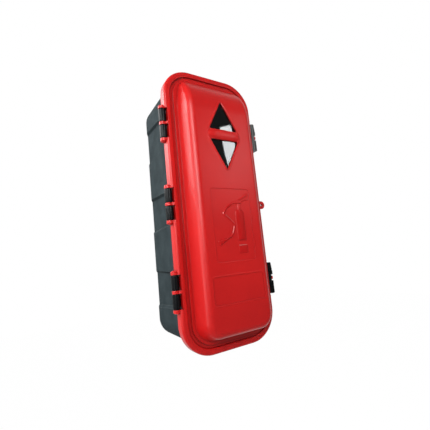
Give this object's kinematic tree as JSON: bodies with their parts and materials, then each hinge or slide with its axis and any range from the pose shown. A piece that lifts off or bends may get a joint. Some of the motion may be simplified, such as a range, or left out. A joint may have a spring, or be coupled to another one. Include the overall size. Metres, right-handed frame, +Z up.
{
  "type": "fire extinguisher cabinet",
  "caption": "Wall-mounted moulded plastic cabinet for a portable fire extinguisher, with a hinged and latched front door, a diamond window and a seal lug.",
  "frame": {"origin": "centre of the back face that lies against the wall, at mid-width and mid-height of the door", "axes": "+Y is the back face's normal, into the wall; the door faces -Y; +X is to the right of someone facing the door; +Z is up"},
  "size_m": [0.2941, 0.242, 0.7],
  "materials": {
    "tub_plastic": "fine moulded texture",
    "door_plastic": "satin, fine moulded texture",
    "clip_plastic": "smooth",
    "gasket_rubber": "foam",
    "pane_clear": "clear",
    "pin_steel": "plain"
  },
  "bodies": {
    "cabinet": {"body_shell": "tub_plastic", "door_gasket": "gasket_rubber", "hinge_clip_upper_top": "clip_plastic", "hinge_clip_upper_bottom": "clip_plastic", "hinge_clip_middle_top": "clip_plastic", "hinge_clip_middle_bottom": "clip_plastic", "hinge_clip_lower_top": "clip_plastic", "hinge_clip_lower_bottom": "clip_plastic", "hinge_pin_upper": "pin_steel", "hinge_pin_middle": "pin_steel", "hinge_pin_lower": "pin_steel", "latch_keeper_upper": "clip_plastic", "latch_keeper_lower": "clip_plastic"},
    "door": {"door_shell": "door_plastic", "window_pane": "pane_clear", "door_seal_eye": "door_plastic", "latch_pin_upper": "pin_steel", "latch_pin_lower": "pin_steel"},
    "upper_latch": {"latch_upper": "clip_plastic"},
    "lower_latch": {"latch_lower": "clip_plastic"}
  },
  "joints": [
    {"name": "door_hinge", "type": "hinge", "parent": "cabinet", "child": "door", "pos_m": [-0.1354, -0.177, 0], "axis": [0, 0, -1], "range_deg": [0, 130]},
    {"name": "upper_latch_pivot", "type": "hinge", "parent": "door", "child": "upper_latch", "pos_m": [0.1411, -0.177, 0.2], "axis": [0, 0, -1], "range_deg": [0, 50]},
    {"name": "lower_latch_pivot", "type": "hinge", "parent": "door", "child": "lower_latch", "pos_m": [0.1411, -0.177, -0.2], "axis": [0, 0, -1], "range_deg": [0, 50]}
  ]
}
